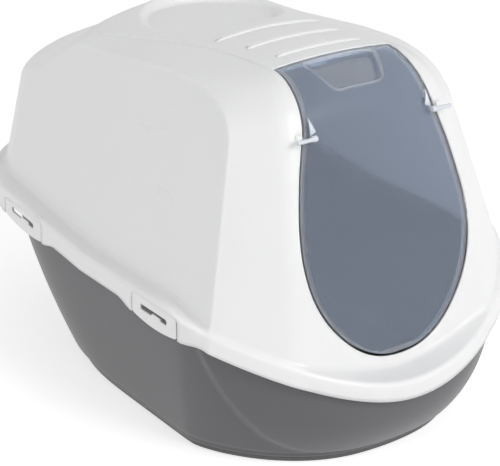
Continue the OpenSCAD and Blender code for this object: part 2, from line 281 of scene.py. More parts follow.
def cheek(x, y, z):
    """Cheek: at each height a shallow arch from the side panel's front crease to the front strip's
    edge. With s from 0 to 1 along the straight line between them, the arch stands out 4 s (1 - s)."""
    hw, yc = panel_half(z), -168 - 0.205 * (280 - z)
    (y0, z0), (y1, z1), (y2, z2) = STRIP
    lower = y0 + (y1 - y0) * (z - z0) / (z1 - z0)
    upper = y1 + (y2 - y1) * (z - z1) / (z2 - z1)
    ys = np.where(z < z1, lower, upper)
    xs = 101 - 0.221 * np.maximum(z - z1, 0)
    ax, ay = hw - xs, yc - ys
    length = np.hypot(ax, ay)
    s = ((np.abs(x) - xs) * ax + (y - ys) * ay) / length**2
    off = ((np.abs(x) - xs) * ay - (y - ys) * ax) / length
    return (off - CHEEK_ARCH * (1 - (2 * s - 1) ** 2)) * 0.97


# %% Deck border and roof
BORDER_HALF, BORDER_REAR, BORDER_CORNER = 66.2, 115.4, 22.0
STEP_RUN, STEP_DROP = 13.0, 23.0


def deck_border(x, y):
    """Plan distance to the border of the raised deck, 0.6 mm narrower than the shoulders' upper edge,
    with round rear corners."""
    side = np.abs(x) - BORDER_HALF - spread(y)
    return blunt(side, y - BORDER_REAR + 0.0005 * x * x, BORDER_CORNER, 0.0)


def roof(x, y, z):
    """Shoulders and the falling back edge of the raised deck, over the crowned rear roof."""
    back = (y - 116) * STEP_RUN + (z - deck_height(x, y)) * STEP_DROP
    deck = blunt(shoulder(x, y, z), back / math.hypot(STEP_RUN, STEP_DROP), 26, 0.5)
    rear = (z - (341 - 0.42 * (y - 135) - 0.002 * x * x)) / 1.1
    return join(deck, blunt(rear, 92 - y, 8), 4)


# %% The hood as one field
LEDGE = 18.0


def hood(x, y, z):
    """Roof and cheeks make a dome, the brow cuts it with a crease that is crisp along the deck and
    soft beside the door, the flat side panels cut both, and the ledge of the rim joins below."""
    dome = blunt(roof(x, y, z), cheek(x, y, z), 55, 0.3)
    soft = np.clip((-y - 135) / 60, 0, 1)
    high = brow(x, y, z)
    step = DECK_STEP * np.clip((y + 150) / 25, 0, 1)
    top = blunt(high + step, dome, 3 + 28 * soft, 0.955 - 0.15 * soft)
    top = join(top, blunt(high, deck_border(x, y) * 0.9, 0.8, 0.3), 0.7)
    rear = np.clip((y - 95) / 60, 0, 1)
    body = blunt(side_panel(x, y, z), top, 4 + 26 * rear, 0.75)
    ledge = blunt(plan(x, y, **RIM), z - rim_height(x, y) - LEDGE, 4.5)
    return join(body, ledge, 5)


# %% [markdown]
# ## Reading the field
# A field can be meshed by marching cubes, which leaves uneven faces. Here, from a point inside, a ray
# leaves the hood exactly once, and bisection finds where, for every ray at the same time. The rays of
# one column lie in one upright plane, so the mesh keeps clean rows from the rim to the dish.


# %% Ray solver
def cross(field, origin, direction, far=600.0, steps=34):
    """Distance along each ray at which field turns positive, by halving the bracket each step."""
    lo = np.zeros(direction.shape[:-1])
    hi = np.full(direction.shape[:-1], far)
    for _ in range(steps):
        mid = (lo + hi) / 2
        p = origin + direction * mid[..., None]
        out = field(p[..., 0], p[..., 1], p[..., 2]) > 0
        hi = np.where(out, mid, hi)
        lo = np.where(out, lo, mid)
    return (lo + hi) / 2


# %% Columns of the hood
SAMPLES, TURN_WEIGHT = 800, 26.0


def columns(field, angles, y0, start, end, rows):
    """Grid of a field in upright planes through (0, y0). start is the rays' centre height and the
    first row's radius and height; end is the last row's. A first pass reads SAMPLES rays. Rows then
    share out arc length plus TURN_WEIGHT times the angle that the section has turned, so tight
    creases get more rows."""
    zc, r0, z0 = start
    out = np.stack([np.sin(angles), -np.cos(angles)], -1)
    origin = np.stack([np.zeros_like(zc), np.full_like(zc, y0), zc], -1)
    a0, a1 = np.arctan2(z0 - zc, r0), np.arctan2(end[1] - zc, end[0])

    def read(a):
        d = np.concatenate([np.cos(a)[..., None] * out, np.sin(a)[..., None]], -1)
        return d, cross(field, origin, d)

    a = a0 + (a1 - a0) * np.linspace(0, 1, SAMPLES)[:, None]
    _, s = read(a)
    dr, dz = np.diff(s * np.cos(a), axis=0), np.diff(s * np.sin(a), axis=0)
    head = np.unwrap(np.arctan2(dz, dr), axis=0)
    bend = np.abs(np.diff(head, axis=0, prepend=head[:1]))
    share = np.hypot(dr, dz) + TURN_WEIGHT * bend
    w = np.cumsum(np.concatenate([np.zeros((1, len(zc))), share]), axis=0)
    want = np.linspace(0, 1, rows)[:, None] * w[-1]
    a = np.stack([np.interp(want[:, i], w[:, i], a[:, i]) for i in range(len(zc))], 1)
    d, s = read(a)
    return origin + d * s[..., None]


# %% [markdown]
# ## Plastics
# Tray and hood are moulded polypropylene with a fine satin grain, the door is clear smoke-blue
# plastic. A painted texture would need an unwrapped mesh. Noise on Object coordinates needs none and
# stays still when a piece moves. Grain and wear are node groups, placed with each material's values.


# %% Node helpers
def feed(tree, target, inputs):
    """Sets each named input of a node: a socket is linked to it, anything else is its value."""
    for key, value in inputs.items():
        if isinstance(value, bpy.types.NodeSocket):
            tree.links.new(value, target.inputs[key])
        else:
            target.inputs[key].default_value = value


def add_node(tree, kind, inputs, **settings):
    """New shader node with its settings and inputs."""
    new = tree.nodes.new("ShaderNode" + kind)
    for key, value in settings.items():
        setattr(new, key, value)
    feed(tree, new, inputs)
    return new


def ranged(tree, source, low, high, start=0.0, end=1.0):
    """source mapped from low..high to start..end."""
    inputs = {"Value": source, "From Min": low, "From Max": high, "To Min": start, "To Max": end}
    return add_node(tree, "MapRange", inputs).outputs["Result"]


def combine(tree, kind, *sources):
    """Math node of one kind on its sources in order."""
    return add_node(tree, "Math", dict(enumerate(sources)), operation=kind).outputs[0]


def new_group(name, inputs, outputs):
    """Empty node group with float sockets: its tree, its inputs and its output node."""
    tree = bpy.data.node_groups.new(name, "ShaderNodeTree")
    for key, value in inputs.items():
        socket = tree.interface.new_socket(key, in_out="INPUT", socket_type="NodeSocketFloat")
        socket.default_value = value
    for key in outputs:
        tree.interface.new_socket(key, in_out="OUTPUT", socket_type="NodeSocketFloat")
    print("node group", name)
    return tree, tree.nodes.new("NodeGroupInput").outputs, tree.nodes.new("NodeGroupOutput")


# %% Grain group
def grain_group():
    """Height is a fine noise, the mould's grain. Tone is a slow one, the unevenness of the colour."""
    tree, values, end = new_group("mould_grain", {"Scale": 900.0, "Patch": 14.0}, ("Height", "Tone"))
    place = add_node(tree, "TexCoord", {}).outputs["Object"]
    fine = add_node(tree, "TexNoise", {"Vector": place, "Scale": values["Scale"], "Detail": 3.0})
    slow = add_node(tree, "TexNoise", {"Vector": place, "Scale": values["Patch"], "Detail": 2.0})
    feed(tree, end, {"Height": fine.outputs["Fac"], "Tone": slow.outputs["Fac"]})
    return tree


GRAIN = grain_group()

# %% Wear group
SCUFF_WIDTH, PATCH_SCALE = 0.006, 11.0
FOOT_LOW, FOOT_HIGH = 0.001, 0.014


def wear_group():
    """Scuff is 1 on thin lines where a stretched noise passes its middle value, in patches only. Rub
    is 1 at the very foot and fades upwards, broken up by the same patches."""
    tree, values, end = new_group("handling_wear", {"Scale": 30.0}, ("Scuff", "Rub"))
    place = add_node(tree, "TexCoord", {}).outputs["Object"]
    stretch = add_node(tree, "Mapping", {"Vector": place, "Scale": (1.0, 0.35, 1.6)})
    inputs = {"Vector": stretch.outputs[0], "Scale": values["Scale"], "Detail": 1.0}
    inputs["Distortion"] = 0.4
    lines = add_node(tree, "TexNoise", inputs).outputs["Fac"]
    patch = add_node(tree, "TexNoise", {"Vector": place, "Scale": PATCH_SCALE}).outputs["Fac"]
    off_middle = combine(tree, "ABSOLUTE", combine(tree, "SUBTRACT", lines, 0.5))
    line = ranged(tree, off_middle, 0.0, SCUFF_WIDTH, 1.0, 0.0)
    scuff = combine(tree, "MULTIPLY", line, ranged(tree, patch, 0.52, 0.68))
    height = add_node(tree, "SeparateXYZ", {"Vector": place}).outputs["Z"]
    foot = ranged(tree, height, FOOT_LOW, FOOT_HIGH, 1.0, 0.0)
    rub = combine(tree, "MULTIPLY", foot, ranged(tree, patch, 0.35, 0.65, 0.3, 1.0))
    feed(tree, end, {"Scuff": scuff, "Rub": rub})
    return tree


WEAR = wear_group()


# %% Opaque plastic
def place_group(tree, group, inputs):
    """Places a node group in a material's tree and gives its outputs."""
    new = add_node(tree, "Group", {}, node_tree=group)
    feed(tree, new, inputs)
    return new.outputs


def plastic(name, colour, rough, drift, grain=0.15, scale=900.0, glow=0.0, wear=0.3, pale=0.7):
    """Moulded plastic: base colour drifts with the slow tone, and turns towards the grey pale where
    it is scuffed or rubbed; roughness follows the grain and the scuffs, and the grain feeds a bump.
    glow is the share of light that goes through the wall."""
    mat = bpy.data.materials.new(name)
    mat.use_nodes = True
    tree = mat.node_tree
    surface = place_group(tree, GRAIN, {"Scale": scale})
    marks = place_group(tree, WEAR, {})
    tone = ranged(tree, surface["Tone"], 0.0, 1.0, 1 - drift, 1 + drift)
    inputs = {"Factor": 1.0, "A": (*colour, 1), "B": tone}
    fresh = add_node(tree, "Mix", inputs, data_type="RGBA", blend_type="MULTIPLY").outputs["Result"]
    worst = combine(tree, "MAXIMUM", marks["Scuff"], marks["Rub"])
    share = combine(tree, "MULTIPLY", worst, wear)
    inputs = {"Factor": share, "A": fresh, "B": (pale, pale, pale, 1)}
    worn = add_node(tree, "Mix", inputs, data_type="RGBA").outputs["Result"]
    satin = ranged(tree, surface["Height"], 0.0, 1.0, rough - 0.05, rough + 0.05)
    inputs = {"Strength": grain, "Distance": 0.0004, "Height": surface["Height"]}
    bump = add_node(tree, "Bump", inputs).outputs["Normal"]
    feed(tree, tree.nodes["Principled BSDF"], {
        "Base Color": worn,
        "Roughness": combine(tree, "MULTIPLY_ADD", share, 0.4, satin),
        "Normal": bump,
        "Specular IOR Level": 0.45,
        "Subsurface Weight": glow,
        "Subsurface Scale": 0.006,
        "Subsurface Radius": (1.0, 1.0, 1.0),
    })
    print("material", name)
    return mat


HOOD_WHITE, TRAY_GREY = (0.855, 0.855, 0.86), (0.104, 0.104, 0.11)
WHITE = plastic("white_polypropylene", HOOD_WHITE, 0.34, 0.01, glow=0.5, wear=0.12, pale=0.6)
GREY = plastic("grey_polypropylene", TRAY_GREY, 0.38, 0.03, 0.25, wear=0.09, pale=0.35)
FOAM = plastic("charcoal_foam", (0.02, 0.02, 0.021), 0.85, 0.2, 1.0, 260.0, wear=0.0)
CLOUDY = plastic("cloudy_pin", (0.66, 0.69, 0.74), 0.2, 0.01, 0.05, wear=0.1)

# %% Smoke-clear plastic
# The second tint is near white: painted highlight on the recess's bead and the door's edges, and
# painted light in the recess.
SMOKE_TINT, PAINTED_HIGHLIGHT_TINT = (0.69, 0.775, 0.91, 1), (0.95, 0.97, 1.0, 1)


def smoke():
    """Clear smoke-blue plastic: transmission with a tint and a soft grain in its gloss. A value that
    the mesh carries turns the tint near white and the gloss rougher: painted highlight along the
    recess's bead and the door's edges and flange, and painted light in the recess."""
    mat = bpy.data.materials.new("smoke_clear")
    mat.use_nodes = True
    tree = mat.node_tree
    # Point value of the painted highlight: where it is high, the tint is painted paler and the gloss is
    # rougher.
    painted_highlight = add_node(tree, "Attribute", {}, attribute_name="painted_highlight").outputs["Fac"]
    inputs = {"Factor": painted_highlight, "A": SMOKE_TINT, "B": PAINTED_HIGHLIGHT_TINT}
    tint = add_node(tree, "Mix", inputs, data_type="RGBA").outputs["Result"]
    surface = place_group(tree, GRAIN, {"Scale": 25.0})
    gloss = ranged(tree, surface["Height"], 0.0, 1.0, 0.12, 0.2)
    feed(tree, tree.nodes["Principled BSDF"], {
        "Base Color": tint,
        "Roughness": combine(tree, "MULTIPLY_ADD", painted_highlight, 0.45, gloss),
        "Transmission Weight": 0.88,
        "IOR": 1.2,
    })
    print("material", mat.name)
    return mat


SMOKE = smoke()

# %% [markdown]
# ## The doorway
# The door's outline is an egg that narrows to a straight neck. A few points of it come from the
# drawing, a smooth curve joins them, and the doorway in the hood is the same curve, a gap wider.

# %% Door outline
DOOR_HALF = np.array([
    [0, 103.5], [22, 106], [41, 114], [58, 127], [73, 144], [84, 163], [91, 184], [94, 208],
    [92.5, 232], [88.5, 254], [83.5, 276], [77, 298], [72, 314], [69, 330], [66.5, 345], [65, 358],
    [65, 400],
])


def spline(knots, at):
    """Curve through knots, read at places such as 2.5, halfway from knot 2 to knot 3. With p0 to p3
    the knots round the place and f the way from p1 to p2, it is half of 2 p1 + (p2 - p0) f
    + (2 p0 - 5 p1 + 4 p2 - p3) f^2 + (3 p1 - p0 - 3 p2 + p3) f^3."""
    k = np.clip(at.astype(int), 1, len(knots) - 3)
    f = (at - k)[:, None]
    p0, p1, p2, p3 = (knots[k + i] for i in (-1, 0, 1, 2))
    square, cube = 2 * p0 - 5 * p1 + 4 * p2 - p3, 3 * p1 - p0 - 3 * p2 + p3
    return 0.5 * (2 * p1 + (p2 - p0) * f + square * f**2 + cube * f**3)


def door_side(x, z):
    """Distance to the door's outline in front view, negative inside: the nearest of all the short
    straight pieces of the curve."""
    loop = np.concatenate([DOOR_HALF[::-1] * [-1, 1], DOOR_HALF[1:]])
    curve = spline(loop, np.linspace(0, len(loop) - 1, 12 * len(loop)))
    best = np.full(x.shape, 1e9)
    for a, b in zip(curve[:-1], curve[1:]):
        d = b - a
        s = np.clip(((x - a[0]) * d[0] + (z - a[1]) * d[1]) / (d @ d), 0, 1)
        best = np.minimum(best, np.hypot(x - a[0] - d[0] * s, z - a[1] - d[1] * s))
    right = curve[len(curve) // 2 :]
    half = np.interp(z, right[:, 1], right[:, 0])
    inside = (np.abs(x) < half) & (z > curve[:, 1].min())
    return np.where(inside, -best, best)


# %% [markdown]
# ## The hood
# One thin white moulding: rim, ledge, panels, cheeks, roof and carry dish. Boolean cuts would leave
# ragged rings in its fine mesh. Instead the doorway, the air slots and the notches for the clips are
# distance fields too, and the grid is trimmed along them before it gets its wall.

# %% Places on the hood
DISH_Y, DISH_R, DISH_DEEP = 49.0, 75.0, 13.0
CLIP_Y, CLIP_HALF, CLIP_TOP = (-130.0, 112.0), 37.0, 14.2
SLOTS = ((-46, 122), (-86, 108), (-124, 97))
DOOR_GAP, DOORWAY_END = 2.3, 144.2
FLARE, FLARE_DROP = 26.0, 6.5
SKIRT_ROWS, DISH_ROWS, HOOD_COLUMNS, HOOD_WALL = 124, 20, 330, 2.4


def clip_fall(y, clip_y):
    """How far a rear clip's upper edge lies below the rim's slope behind its middle."""
    return (RIM_SLOPE if clip_y > 0 else 0.0) * np.maximum(y - clip_y, 0)


def clip_lobe(y):
    """1 beside a clip, falling to 0 over FLARE mm on both sides in a soft flare, 3 t^2 - 2 t^3."""
    d = np.minimum(np.abs(y - CLIP_Y[0]), np.abs(y - CLIP_Y[1])) - CLIP_HALF
    t = np.clip(1 - d / FLARE, 0, 1)
    return t * t * (3 - 2 * t)


# %% Columns round the dish
def spread_angles(count):
    """Angles round the dish, closer together at the cheeks' creases and the doorway's edges: the
    running sum of a weight, shared out evenly."""
    t = np.linspace(0, 2 * math.pi, 2000)
    off = np.abs(np.degrees(np.arctan2(np.sin(t), np.cos(t))))
    weight = 1 + 3.2 * (np.abs(off - 33) < 5) + 1.2 * (np.abs(off - 18) < 4)
    total = np.cumsum(weight)
    return np.interp(np.arange(count) / count * total[-1], total, t)


def dish_rows(angles, rows):
    """Rows from the dish's lip to its middle. The height goes from the floor to the deck with a soft
    step of t = (r - 62.5) / 10: 2 t^2 up to halfway, then 1 - 2 (1 - t)^2."""
    r = np.concatenate([np.linspace(DISH_R - 0.8, 60, rows - 6), np.linspace(52, 0, 6)])[:, None]
    x, y = r * np.sin(angles), DISH_Y - r * np.cos(angles)
    t = np.clip((r - 62.5) / 10, 0, 1)
    step = np.where(t > 0.5, 1 - 2 * (1 - t) ** 2, 2 * t**2)
    floor = deck_height(0, DISH_Y) - DISH_DEEP
    return np.stack([x, y, floor + (deck_height(x, y) - floor) * step], -1)


# %% Skin of the hood
angles = spread_angles(HOOD_COLUMNS)
away = np.stack([np.sin(angles), -np.cos(angles), np.zeros_like(angles)], -1)
rim_r = cross(lambda x, y, z: plan(x, y, **RIM), np.array([0, DISH_Y, 0.0]), away)
rim_y = DISH_Y + away[:, 1] * rim_r
rim_z = rim_height(away[:, 0] * rim_r, rim_y) - FLARE_DROP * clip_lobe(rim_y)
lip_z = deck_height(DISH_R * away[:, 0], DISH_Y + DISH_R * away[:, 1])
skirt = columns(hood, angles, DISH_Y, (rim_z - 35, rim_r, rim_z), (DISH_R, lip_z), SKIRT_ROWS)
grid = np.concatenate([skirt, dish_rows(angles, DISH_ROWS)])
points, tris = grid.reshape(-1, 3), triangles(grid_faces(*grid.shape[:2]))
print("hood grid", grid.shape[:2], "highest point", round(points[:, 2].max(), 1), "mm")

# %% Openings of the hood
FAR_AWAY = 9.0
doorway = np.maximum(door_side(points[:, 0], points[:, 2]) - DOOR_GAP, points[:, 1] + DOORWAY_END)
points, tris = trim(points, tris, doorway)
for y, length in SLOTS:
    slot = np.maximum(np.abs(points[:, 0]) - length / 2 + 3, np.abs(points[:, 1] - y - 5.0) - 2.4)
    points, tris = trim(points, tris, np.where(points[:, 2] > 340, slot, FAR_AWAY))
for y in CLIP_Y:
    x_side, y_side, z_side = points.T
    top = rim_line(y_side) + CLIP_TOP + 0.6 - clip_fall(y_side, y)
    notch = np.maximum(np.abs(y_side - y) - CLIP_HALF - 0.6, z_side - top)
    points, tris = trim(points, tris, np.where(np.abs(x_side) > 175, notch, FAR_AWAY))
hood_shell = add_object("hood_shell", points, tris, "hood", WHITE)
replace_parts(thicken(hood_shell, HOOD_WALL), "hood")

# %% [markdown]
# ## Louvre ribs
# Three raised lips keep scoops of litter and splashes out of the air slots behind them. A bevelled bar
# would not follow the crowned deck, so each is a soft hump carried across it, closed at its ends.

# %% Louvre ribs
RIB_HALF, RIB_HIGH, RIB_SUNK, RIB_MOST = 2.7, 2.9 * 1.1, 0.5, 362.9


def rib(y, length):
    """Closed grid of one rib: along x the deck's crown, across it half a superellipse 5.4 wide, both
    shrinking to nothing at the ends with (1 - |2 x / length|^10)^0.5."""
    x = np.linspace(-1, 1, 61)[:, None] * length / 2
    a = np.linspace(0, math.pi, 13)
    end = np.maximum(1 - np.abs(2 * x / length) ** 10, 0) ** 0.5
    yy = y + RIB_HALF * end * np.cos(a)
    zz = deck_height(x, yy) - RIB_SUNK + RIB_HIGH * end * np.sin(a) ** 0.5
    return np.stack([x * np.ones_like(yy), yy, np.minimum(zz, RIB_MOST)], -1)


for number, (y, length) in enumerate(SLOTS, 1):
    add_grid("louvre_rib_%d" % number, rib(y, length), "hood", WHITE)

# %% [markdown]
# ## Swinging door
# A thin clear panel that lies in the front strip and turns over the brow. A flat sheet bent by a
# modifier would stretch its outline. Here rows run up the section of the strip, so the edges are
# exact, a flange turned inwards stiffens it, and the finger recess is pressed in along the normals.

# %% Door section
DOOR_ROWS, DOOR_COLUMNS, DOOR_WALL = 250, 140, 1.8
DOOR_EDGE = 145.9


def smooth_half(z):
    """Door's half width at height z, from the smooth curve through the outline's points."""
    knots = np.concatenate([DOOR_HALF[1:2] * [-1, 1], DOOR_HALF, DOOR_HALF[-1:]])
    curve = spline(knots, np.linspace(1, len(DOOR_HALF), 600))
    return np.interp(z, curve[:, 1], curve[:, 0])


def door_section(count):
    """Points of the door's middle section from its lower end to its edge on the deck, read from the
    brow field by rays out of a centre behind the strip, and their places along it. Near the lower
    end rows crowd together: with u from 0 to 1 a place is 2.2 u^2 up to 0.2, then straight."""
    centre = np.array([-120.0, 250.0])
    a = np.linspace(math.radians(228), math.radians(100), 1200)
    d = np.stack([np.zeros_like(a), np.cos(a), np.sin(a)], -1)
    s = cross(brow, np.array([0, *centre]), d)
    y, z = centre[0] + s * np.cos(a), centre[1] + s * np.sin(a)
    keep = (z > DOOR_HALF[0, 1] + 0.15) & (y < -DOOR_EDGE)
    y, z = y[keep], z[keep]
    w = np.concatenate([[0], np.cumsum(np.hypot(np.diff(y), np.diff(z)))])
    u = np.linspace(0, 1, count)
    want = w[-1] * np.where(u < 0.2, u * u * 2.2, 0.088 + (u - 0.2) * 1.14)
    return np.interp(want, w, y), np.interp(want, w, z), want


# %% Finger recess
RECESS_DEEP, RECESS_WALL, BEAD_HIGH = 5.5, 4.5, 0.9


def recess_line(x, y, z):
    """Distance to the finger recess's outline, negative inside: a rounded trapezium, 39 mm half width
    at the top and 27 at the bottom, 44 mm long over the brow."""
    w = -y - 152 + np.maximum(354 - z, 0) * 0.8
    side = (np.abs(x) - 39 + w * 0.28) * 0.96
    return blunt(blunt(side, w - 44, 9, 0.2), -w, 4, -0.2)


def recess(d):
    """Depth of the recess at distance d from its outline: a soft step over the width of its wall,
    less a bead round it, a bell curve 1.7 mm wide whose top lies 1.4 mm outside the outline."""
    t = np.clip(-d / RECESS_WALL, 0, 1)
    return RECESS_DEEP * t * t * (3 - 2 * t) - BEAD_HIGH * np.exp(-(((d - 1.4) / 1.7) ** 2))


# %% Face of the door
sy, sz, sw = door_section(DOOR_ROWS)
half = smooth_half(np.minimum(sz, 357.5))[:, None]
x = half * np.linspace(-1, 1, DOOR_COLUMNS)
y, z = sy[:, None] * np.ones_like(x), sz[:, None] * np.ones_like(x)
dy, dz = np.gradient(sy), np.gradient(sz)
normal = np.stack([np.zeros(DOOR_ROWS), -dz, dy], -1) / np.hypot(dy, dz)[:, None]
drop = (DECK_Z - deck_height(x, y)) * np.clip(normal[:, 2:3], 0, 1) ** 1.5
line = recess_line(x, y, z)
face = np.stack([x, y, z], -1) - normal[:, None] * (recess(line) + drop)[..., None]
print("door section", round(sw[-1], 1), "mm long")

# %% Painted highlight on the door
PAINTED_HIGHLIGHT_BAND = 5.0
edge = np.minimum(half - np.abs(x), np.minimum(sw, sw[-1] - sw)[:, None])
# Painted highlight: a line along the recess's bead, painted light over the recess, and a band along the
# door's edges.
painted_highlight = np.maximum(np.exp(-(((line - 0.6) / 1.6) ** 2)), 0.55 * (line < -3.5))
painted_highlight = np.maximum(painted_highlight, 0.8 * np.clip((PAINTED_HIGHLIGHT_BAND - edge) / 1.5, 0, 1))

# %% Flange of the door
FLANGE = np.array([1.2, 2.6, 4.2, 5.6])
index = np.arange(face.shape[0] * face.shape[1]).reshape(face.shape[:2])
ring = np.concatenate([index[:, -1], index[-1, -2:0:-1], index[::-1, 0]])
points = face.reshape(-1, 3)
inward = -np.repeat(normal, DOOR_COLUMNS, axis=0)[ring]
flange = (points[ring][None] + inward[None] * FLANGE[:, None, None]).reshape(-1, 3)
band = np.concatenate([ring[None], index.size + np.arange(len(flange)).reshape(len(FLANGE), -1)])
quads = np.stack([band[:-1, :-1], band[1:, :-1], band[1:, 1:], band[:-1, 1:]], -1).reshape(-1, 4)
tris = triangles(np.concatenate([grid_faces(*index.shape, wrap=False), quads]))
points = np.concatenate([points, flange])
# The flange gets the painted highlight in full.
painted_highlight = np.concatenate([painted_highlight.ravel(), np.ones(len(flange))])
door_panel = add_object("door_panel", points, tris, "door", SMOKE)
painted_highlight = painted_highlight[welded(points, tris)[2]]
door_panel.data.attributes.new("painted_highlight", "FLOAT", "POINT").data.foreach_set("value", painted_highlight)
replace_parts(thicken(door_panel, DOOR_WALL), "flap_door")

# %% [markdown]
# ## Turned parts
# Pins, bosses and the clips' hinge barrels are round. Blender's cylinder has sharp rims, so a profile
# with rounded ends is turned about X or Y: a radius along a length.


# %% Turned shapes
def turned(name, centre, axis, profile, body, material, sides=40):
    """Closed shape of revolution: profile rows are (place along the axis, radius), and the end rows
    have radius 0. Each row is a ring, radius times the cosine and sine of the angle."""
    p = np.array(profile, float)
    a = np.linspace(0, 2 * math.pi, sides, endpoint=False)
    along = np.repeat(p[:, :1], sides, axis=1)
    c, s = p[:, 1:2] * np.cos(a), p[:, 1:2] * np.sin(a)
    order = {"x": (along, c, s), "y": (s, along, c)}[axis]
    return add_grid(name, np.stack(order, -1) + np.array(centre), body, material)


def rounded_rod(length, radius, edge):
    """Profile of a rod whose ends are rounded with quarter circles of radius edge."""
    a = np.linspace(0, math.pi / 2, 6)
    left = np.stack([-length / 2 + edge - edge * np.cos(a), radius - edge + edge * np.sin(a)], -1)
    right = left[::-1] * [-1, 1]
    return np.concatenate([[[-length / 2, 0]], left, right, [[length / 2, 0]]])


# %% Door pins
AXIS_Y, AXIS_Z = -208.5, 309.0
SIDES = ((-1, "left"), (1, "right"))
for side, word in SIDES:
    place, rod = (side * 76.8, AXIS_Y - 0.2, AXIS_Z), rounded_rod(21, 1.9, 0.7)
    pin = turned("pin_" + word, place, "x", rod, "door", CLOUDY)
    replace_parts(pin, "hinge_pin_" + word)
    place, rod = (side * 68.2, AXIS_Y + 0.6, AXIS_Z), rounded_rod(5, 2.9, 0.9)
    turned("pin_boss_" + word, place, "x", rod, "door", CLOUDY)

# %% Gussets behind the door
GUSSET_CORNERS = np.array([[0, 14], [0, -1], [6.0, 1.5]], float)
GUSSET_LAYERS = ((0, 0), (0, 0.93), (0.4, 1), (1.2, 1), (1.6, 0.93), (1.6, 0))


def gusset(side):
    """Small upright web that carries the pin's boss: a triangle 1.6 mm thick with rounded edges, made
    of layers (depth, size) that follow the curve of the door behind it."""
    a = np.arange(24) / 24 * 3
    k = a.astype(int)
    f = (a - k)[:, None]
    loop = GUSSET_CORNERS[k] * (1 - f) + GUSSET_CORNERS[(k + 1) % 3] * f
    middle = loop.mean(0)
    rows = []
    for depth, size in GUSSET_LAYERS:
        out, up = (middle + (loop - middle) * size).T
        deep = 5.5 + 0.25 * up + 0.014 * up**2 + depth
        rows.append(np.stack([side * (68.6 - 0.12 * up - out), AXIS_Y + deep, AXIS_Z + 2 + up], -1))
    return np.stack(rows)[::side]


for side, word in SIDES:
    add_grid("gusset_" + word, gusset(side), "door", CLOUDY)

# %% [markdown]
# ## Clips
# Four clips hold the hood down. Each is a plate with a bowed lower edge and a finger slot. The outline
# and the slot are distance fields that trim a plain grid, and the same distance rounds the plate off
# towards its edge, which a bevel of so many small faces would not do evenly.

# %% Clip outline and slot
PLATE_X, PLATE_ROUND, PLATE_WALL = 188.0, 1.6, 2.3
BARREL_X, BARREL_UP = 184.6, 13.6


def clip_outline(v, h, fall):
    """Distance to a clip's face, 73.2 wide; v runs along the rim and h up from its lower edge. The
    plate's lower edge bows down 4 mm in the middle, and fall lowers its upper edge."""
    bottom = -6.0 - 4.0 * (1 - (v / 36.7) ** 2)
    return blunt(blunt(np.abs(v) - 36.6, bottom - h, 3.2, 0.1), h - CLIP_TOP + fall, 2.2)


def clip_slot(v, h, side):
    """Distance to the finger slot, a bar 44 x 5.8 with round ends and a tab in its middle."""
    bar = blunt(np.abs(v) - 22, np.abs(h - 4.6) - 2.9, 2.4)
    tab = blunt(np.abs(v - side * 4) - 7, h - 4.2, 1.5)
    return np.maximum(bar, -tab)


# %% Clip pieces
def clip_piece(word, side, y, node, body):
    """Clip plate with its slot, and the barrel it turns on. The plate's face rounds off towards its
    edge like a quarter ellipse, 1.3 mm deep over PLATE_ROUND mm."""
    v, h = np.meshgrid(np.linspace(-37, 37, 110), np.linspace(-10.5, 14.6, 44), indexing="ij")
    v, h = v.ravel(), h.ravel()
    edge = np.clip((PLATE_ROUND + clip_outline(v, h, clip_fall(y + v, y))) / PLATE_ROUND, 0, 1)
    x = PLATE_X - 1.3 * (1 - np.sqrt(np.maximum(1 - edge**2, 0)))
    points = np.stack([side * x, y + v, rim_line(y + v) + h], -1)
    quads = grid_faces(110, 44, wrap=False)
    tris = triangles(quads if side < 0 else quads[:, ::-1])
    v, h = points[:, 1] - y, points[:, 2] - rim_line(points[:, 1])
    points, tris = trim(points, tris, -clip_outline(v, h, clip_fall(points[:, 1], y)))
    v, h = points[:, 1] - y, points[:, 2] - rim_line(points[:, 1])
    points, tris = trim(points, tris, clip_slot(v, h, side))
    plate = add_object("plate_" + word, points, tris, body, WHITE)
    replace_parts(thicken(plate, PLATE_WALL), node)
    place = (side * BARREL_X, y, rim_line(y) + BARREL_UP)
    turned("barrel_" + word, place, "y", rounded_rod(68, 1.9, 0.8), body, WHITE)


for side, word in SIDES:
    front, rear = "front_" + word, "rear_" + word
    clip_piece(front, side, CLIP_Y[0], "clip_" + front, "clip_f" + word[0])
    clip_piece(rear, side, CLIP_Y[1], "clip_" + rear, "clip_r" + word[0])

# %% [markdown]
# ## Tray
# A deep moulded tray: flat foot, rounded lower edge, bulging walls, a bolder bulge round the nose with
# a soft crease where it ends, and a flange under the hood's rim. A subdivided cage could give it, but
# not the crease's path. Its rows run from the middle of the floor outwards and up, its columns round.


# %% Outlines of the tray
def outline(hw, front, rear, cf, cr):
    """Closed plan outline of 416 points: superelliptic nose, straight side and superelliptic rear on
    the right, mirrored to the left, then smoothed along the loop by a bell curve of neighbours."""
    a = np.linspace(0, 1, 91)[:-1] ** 0.8 * math.pi / 2
    ahead = -cf - (front - cf) * np.cos(a) ** (2 / NOSE_M)
    nose = np.stack([hw * np.sin(a) ** (2 / NOSE_N), ahead], -1)
    flank = np.stack([np.full(40, hw), np.linspace(-cf, cr, 40)], -1)
    a = (1 - np.linspace(1, 0, 80)[1:] ** 1.1) * math.pi / 2
    behind = cr + (rear - cr) * np.sin(a) ** (2 / TAIL_M)
    tail = np.stack([hw * np.cos(a) ** (2 / TAIL_N), behind], -1)
    half = np.concatenate([nose, flank, tail])
    loop = np.concatenate([half, half[-2:0:-1] * [-1, 1]])
    weight = np.exp(-((np.arange(-15, 16) / 8.0) ** 2))
    weight /= weight.sum()
    wrapped = np.concatenate([loop[-15:], loop, loop[:15]])
    return np.stack([np.convolve(wrapped[:, i], weight, "valid") for i in (0, 1)], -1)


